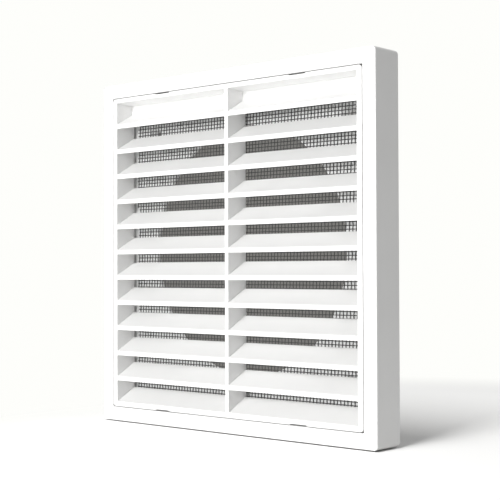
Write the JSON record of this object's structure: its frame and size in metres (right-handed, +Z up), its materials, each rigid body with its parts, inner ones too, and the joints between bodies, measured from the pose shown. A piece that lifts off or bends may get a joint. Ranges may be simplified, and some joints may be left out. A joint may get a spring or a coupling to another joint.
{
  "type": "air vent",
  "caption": "Square louvred wall vent: a deep white frame with a round duct hole, a push-in grille of sloping blades, and a woven fly screen between them.",
  "frame": {"origin": "middle of the bottom edge, at half the depth; the vent stands on this edge", "axes": "+X to the right seen from the front, +Y to the back (the wall side), +Z up; the louvred front faces -Y"},
  "size_m": [0.2, 0.021, 0.2],
  "materials": {
    "frame_plastic": "satin",
    "grille_plastic": "satin",
    "screen_mesh": "matte"
  },
  "bodies": {
    "frame": {"wall_frame": "frame_plastic", "fly_screen": "screen_mesh"},
    "grille": {"louvre_grille": "grille_plastic"}
  },
  "joints": [
    {"name": "grille_pull", "type": "slide", "parent": "frame", "child": "grille", "axis": [0, -1, 0], "range_m": [0, 0.03]}
  ]
}
